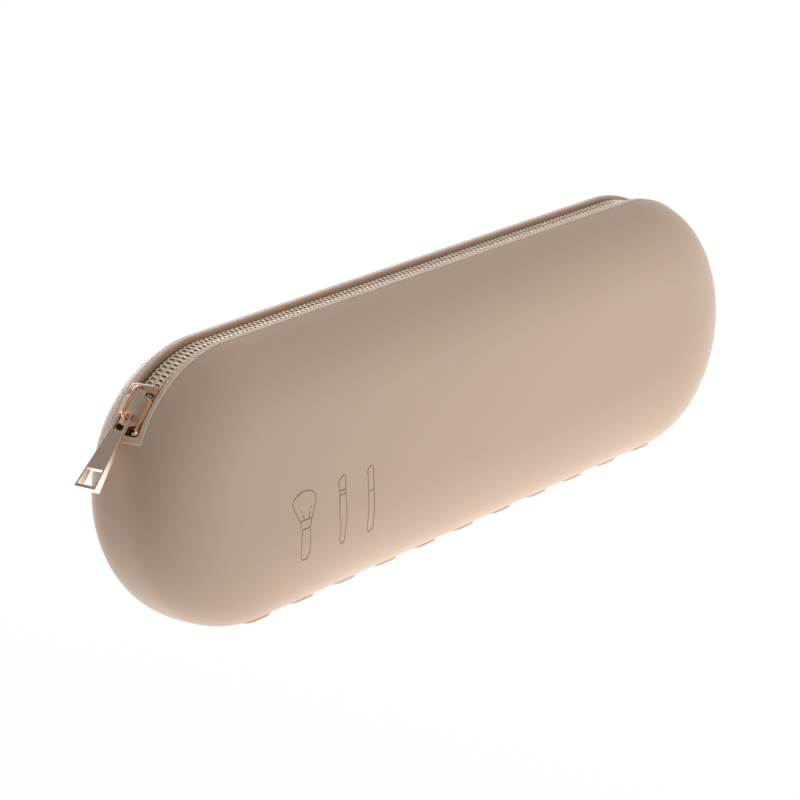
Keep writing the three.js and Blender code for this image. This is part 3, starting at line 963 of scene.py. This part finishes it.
def plate_part(stations, thickness):
    """A plate with sloping sides, from stations of (x, half-width, height) at its middle,
    shoulder and rim."""
    points = []
    for drop in (0.0, 1.0):
        for (xm, zm), (xs, ws, zs), (xr, wr, zr) in stations:
            row = [(xr, -wr, zr), (xs, -ws, zs), (xm, 0.0, zm), (xs, ws, zs), (xr, wr, zr)]
            thick = [thickness * share * drop for share in (0.6, 1, 1, 1, 0.6)]
            points += [(x, y, z - t) for (x, y, z), t in zip(row, thick)]
    rows = len(stations)
    top = grid_faces(rows, 5)
    under = [tuple(reversed(f)) for f in grid_faces(rows, 5, first=rows * 5)]
    edge = [i for i in range(5)] + [r * 5 + 4 for r in range(1, rows)]
    edge += [(rows - 1) * 5 + i for i in (3, 2, 1, 0)] + [r * 5 for r in range(rows - 2, 0, -1)]
    wall = [(a, b, rows * 5 + b, rows * 5 + a) for a, b in zip(edge, edge[1:] + edge[:1])]
    return points, top + under + wall


RAIL_Y = 3.3  # inner faces of the flanges and wings


def slider_plate(home):
    """The satin top plate: a nose and a longer main part, joined by a neck."""
    nose = plate_part([
        ((-6.55, 36.0), (-6.5, 3.2, 36.0), (-6.15, 4.5, 35.92)),
        ((-6.1, 36.45), (-6.05, 2.9, 36.45), (-5.3, 4.55, 36.12)),
        ((-4.35, 36.5), (-4.35, 3.2, 36.5), (-4.3, 4.65, 36.15)),
    ], 0.5)
    main = plate_part([
        ((-3.45, 36.5), (-3.35, 2.5, 36.5), (-3.25, 3.2, 36.2)),
        ((-3.0, 36.5), (-2.7, 3.15, 36.5), (-2.5, 4.6, 36.05)),
        ((-0.55, 36.5), (0.6, 3.2, 36.5), (1.25, 4.6, 36.02)),
        ((5.0, 35.95), (4.1, 2.9, 35.9), (3.4, 4.1, 35.5)),
    ], 0.55)
    neck = prism(mirrored([(-4.6, 1.9), (-3.2, 1.9)]), 35.7, 36.46)
    plate = metal("slider_plate", [nose, main, neck], home, "slider", 0.09, 2, 20, MAT_SATIN)
    # Painted shade: the plate's faces that turn towards +y take the darker copper tone.
    paint_side_shade(plate, home, 0.18, both=False)
    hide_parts("slider_body")


def slider_walls(home):
    """The side flanges, and the thicker wings at their lower end."""
    flange = [(-3.2, 33.85), (3.2, 33.85), (3.2, 35.9), (-3.2, 35.9)]
    wing = [(3.0, 33.95), (5.3, 33.9), (5.95, 34.5), (6.0, 35.2), (5.5, 35.7), (4.2, 36.0), (3.0, 36.0)]
    rails = []
    for side in (-1, 1):
        for outline, far in ((flange, 3.85), (wing, 4.15)):
            low, high = sorted((side * RAIL_Y, side * far))
            rails.append(prism(outline, low, high, 1))
    walls = metal("slider_walls", rails, home, "slider", 0.22, 3)
    # Painted shade: the walls' side faces take the darker copper tone.
    paint_side_shade(walls, home, 0.5)


def slider_core(home):
    """The lower plate, and the divider that parts the rows."""
    base = prism(mirrored([(-5.3, 3.3), (-4.8, 3.8), (4.4, 3.8), (5, 3.2)]), 31.35, 32.6)
    post = prism(mirrored([(1.9, 0.1), (3, 0.58), (4, 0.58), (4.75, 0.28)]), 31.7, 35.9)
    metal("slider_base", [base], home, "slider", 0.25, 3)
    metal("slider_divider", [post], home, "slider", 0.08, 2)


def slider_crown(home):
    """The bridge over the plate that holds the tab, all in the copper tone of painted shade."""
    foot = [(-5.3, 36.2), (-5.3, 36.8), (-5.2, 37.3), (-4.85, 37.85), (-4.2, 38.3), (-3.4, 38.5)]
    end = [(2.2, 38.5), (2.8, 38.3), (3.25, 37.9), (3.4, 37.3), (3.4, 36.6), (3.38, 35.9)]
    path = foot + [(x, 38.52) for x in np.linspace(-2.6, 1.6, 8)] + end
    points, faces = tube(path, 0.45, 0.37)
    clean(piece("slider_crown", points, faces, MAT_SHADED_COPPER, "slider", matrix=home))


def make_slider():
    home = slider_frame()
    slider_plate(home)
    slider_walls(home)
    slider_core(home)
    slider_crown(home)


def frame_slab(stations, holes):
    """A plate with oblong holes, from stations of (x, hole half-width, half-width,
    half-thickness); the gaps after the stations listed in holes are open."""
    points = []
    for level in (-1, 1):
        for x, inner, outer, thick in stations:
            points += [(x, y, level * thick) for y in (-outer, -inner, inner, outer)]
    rows = len(stations)
    low = lambda j, i: j * 4 + i
    high = lambda j, i: (rows + j) * 4 + i
    faces = []
    for j in range(rows - 1):
        for i in range(3):
            if i == 1 and j in holes:
                continue
            faces.append((high(j, i), high(j + 1, i), high(j + 1, i + 1), high(j, i + 1)))
            faces.append((low(j, i), low(j, i + 1), low(j + 1, i + 1), low(j + 1, i)))
        for i in (0, 3) + ((1, 2) if j in holes else ()):
            faces.append((low(j, i), low(j + 1, i), high(j + 1, i), high(j, i)))
    for i in range(3):
        for j in (0, rows - 1):
            if i == 1 and j == 0 and 0 in holes:
                continue
            faces.append((low(j, i), low(j, i + 1), high(j, i + 1), high(j, i)))
    for j in range(1, rows - 1):
        if (j in holes) != (j - 1 in holes):
            faces.append((low(j, 1), low(j, 2), high(j, 2), high(j, 1)))
    return points, faces


HOOK_BAR_R = 0.45
HOOK_BAR_HALF = 2.1
HOOK_BAR_SIDES = 20


def tab_blade(home):
    """The blade, which widens to its foot, with the eye behind the hook bar and the window."""
    slab = frame_slab([
        (0.0, 1.5, 2.1, 0.4), (4.6, 1.65, 2.35, 0.4), (15.4, 2.6, 3.2, 0.78),
        (19.75, 2.95, 3.53, 0.92), (20.6, 3.0, 3.6, 0.95),
    ], (0, 2))
    blade = metal("tab_blade", [slab], home, "tab", 0.09, 2, 40)
    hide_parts("pull_tab")


def tab_hook_bar(home):
    """The round bar that hangs in the crown, with eased ends."""
    stations = [(-1.0, 0.82), (-0.93, 0.96)]
    stations += [(t, 1.0) for t in np.linspace(-0.8, 0.8, 9)]
    stations += [(0.93, 0.96), (1.0, 0.82)]
    points = []
    for along, share in stations:
        radius = HOOK_BAR_R * share
        for a in circle(HOOK_BAR_SIDES):
            points.append((radius * math.cos(a), HOOK_BAR_HALF * along, radius * math.sin(a)))
    faces = rod_faces(len(stations), HOOK_BAR_SIDES)
    # Painted shade: the bar takes the copper tone that stands for the darker reflections of side walls.
    clean(piece("tab_hook_bar", points, faces, MAT_SHADED_COPPER, "tab", matrix=home))


def make_tab():
    home = tab_frame()
    tab_blade(home)
    tab_hook_bar(home)


STOP_DEG = (54.9, 56.3)  # how far down the end arc a stop begins and ends
STOP_BASE_R = 33.7


def make_stops():
    """Crimped stops: small blocks that hug the coil at each end of the chain."""
    for name, end, y1, y2, top_r in (
        ("top_stop_front", -1, -2.95, -1.15, 34.7),
        ("top_stop_back", -1, 1.15, 2.95, 34.7),
        ("bottom_stop", 1, -2.95, 2.95, 35.0),
    ):
        s1, s2 = (end * (HALF + END_R * math.radians(a)) for a in STOP_DEG)
        corners = ((s1, y1), (s2, y1), (s2, y2), (s1, y2))
        points = [on_zip(s, y, r) for r in (STOP_BASE_R, top_r) for s, y in corners]
        obj = piece(name + "_crimp", points, rod_faces(2, 4), MAT_PLATING, "pouch")
        clean(obj)
        bevel(obj, 0.2, 3, 30)
        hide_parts(name)


make_shell()
make_pads()
make_surround()
make_bead()
make_zip()
make_slider()
make_tab()
make_stops()


# ---- Stage ----


FLOOR_SIZE = 6.0
FLOOR_GREY = (0.3, 0.3, 0.3, 1)
# The floor's glow on its left and on its right, and the x between which it changes.
FLOOR_GLOW = (0.02, 1.08)
FLOOR_GLOW_X = (-0.22, -0.05)
FLOOR_SHINE = 0.7  # extra glow that reflections see
FLOOR_WHITE = 0.97  # share of plain white that the camera sees


def make_floor():
    """A plain white floor. It glows a little, as a lit sweep does, less towards the left."""
    mesh = bpy.data.meshes.new("floor")
    corners = [(x * FLOOR_SIZE, y * FLOOR_SIZE, 0) for x, y in ((-1, -1), (1, -1), (1, 1), (-1, 1))]
    mesh.from_pydata(corners, [], [(0, 1, 2, 3)])
    obj = bpy.data.objects.new("floor", mesh)
    bpy.context.scene.collection.objects.link(obj)
    mesh.materials.append(floor_material())


def floor_material():
    """Grey that glows for the object and its reflections, and is nearly white for the camera."""
    material, nodes, links, shader = new_material("floor")
    shader.inputs["Base Color"].default_value = FLOOR_GREY
    shader.inputs["Roughness"].default_value = 0.9
    split = nodes.new("ShaderNodeSeparateXYZ")
    links.new(object_coordinates(nodes), split.inputs["Vector"])
    across = map_range(nodes, links, split.outputs["X"], *FLOOR_GLOW_X, *FLOOR_GLOW)
    rays = nodes.new("ShaderNodeLightPath")
    glow = arithmetic(nodes, links, "MULTIPLY_ADD", rays.outputs["Is Glossy Ray"], FLOOR_SHINE, across)
    shader.inputs["Emission Color"].default_value = (1, 1, 1, 1)
    links.new(glow, shader.inputs["Emission Strength"])
    white = nodes.new("ShaderNodeEmission")
    white.inputs["Strength"].default_value = 1.0
    blend = nodes.new("ShaderNodeMixShader")
    share = arithmetic(nodes, links, "MULTIPLY", rays.outputs["Is Camera Ray"], FLOOR_WHITE)
    links.new(share, blend.inputs["Fac"])
    links.new(shader.outputs["BSDF"], blend.inputs[1])
    links.new(white.outputs["Emission"], blend.inputs[2])
    links.new(blend.outputs["Shader"], nodes["Material Output"].inputs["Surface"])
    return material


# Soft lights of the studio dome: compass bearing from +Y towards +X and height above the
# horizon, in degrees, then strength and narrowness.
DOME = (
    (107, 48, 0.92, 4),
    (92, 8, 0.45, 4),
    (32, 12, 1.25, 4),
    (30, 8, 9.5, 36),
    (-30, 8, 5.0, 36),
    (-65, 48, 0.12, 4),
    (-140, 52, 0.28, 4),
    (-110, 65, 0.56, 4),
)
DOME_BASE = 0.02  # strength where no light reaches


def make_world():
    """A dark studio with a few soft lights, wide and narrow."""
    world = bpy.data.worlds.new("studio")
    world.use_nodes = True
    bpy.context.scene.world = world
    nodes, links = world.node_tree.nodes, world.node_tree.links
    aim = nodes.new("ShaderNodeVectorMath")
    aim.operation = "NORMALIZE"
    links.new(nodes.new("ShaderNodeTexCoord").outputs["Generated"], aim.inputs[0])
    total = DOME_BASE
    for bearing, height, strength, narrow in DOME:
        b, h = math.radians(bearing), math.radians(height)
        dot = nodes.new("ShaderNodeVectorMath")
        dot.operation = "DOT_PRODUCT"
        dot.inputs[1].default_value = (math.sin(b) * math.cos(h), math.cos(b) * math.cos(h), math.sin(h))
        links.new(aim.outputs["Vector"], dot.inputs[0])
        near = arithmetic(nodes, links, "MAXIMUM", dot.outputs["Value"], 0.0)
        lobe = arithmetic(nodes, links, "POWER", near, narrow)
        total = arithmetic(nodes, links, "MULTIPLY_ADD", lobe, strength, total)
    background = nodes["Background"]
    background.inputs["Color"].default_value = (0.8, 0.8, 0.8, 1)
    links.new(total, background.inputs["Strength"])


# The camera: its direction in radians, its lens in mm and its place in metres.
YAW, PITCH_DOWN, ROLL = 0.8231, 0.2849, 0.079
LENS = 126.0
SENSOR = 36.0
CAMERA_PLACE = (-0.5255, -0.4750, 0.2067 + 0.001 * AXIS_Z)


def make_camera():
    """A long lens, from the front left and a little above."""
    level = math.cos(PITCH_DOWN)
    forward = Vector((math.sin(YAW) * level, math.cos(YAW) * level, -math.sin(PITCH_DOWN)))
    right = forward.cross(Vector((0, 0, 1))).normalized()
    down = forward.cross(right)
    rolled_right = math.cos(ROLL) * right + math.sin(ROLL) * down
    rolled_down = -math.sin(ROLL) * right + math.cos(ROLL) * down
    data = bpy.data.cameras.new("camera")
    data.lens = LENS
    data.sensor_width = SENSOR
    data.clip_start = 0.01
    data.clip_end = 50
    obj = bpy.data.objects.new("camera", data)
    bpy.context.scene.collection.objects.link(obj)
    matrix = Matrix((rolled_right, -rolled_down, -forward)).transposed().to_4x4()
    matrix.translation = Vector(CAMERA_PLACE)
    obj.matrix_world = matrix
    bpy.context.scene.camera = obj


make_floor()
make_world()
make_camera()
bpy.context.scene.view_settings.view_transform = "Standard"
bpy.context.scene.view_settings.look = "None"

bpy.context.view_layer.update()
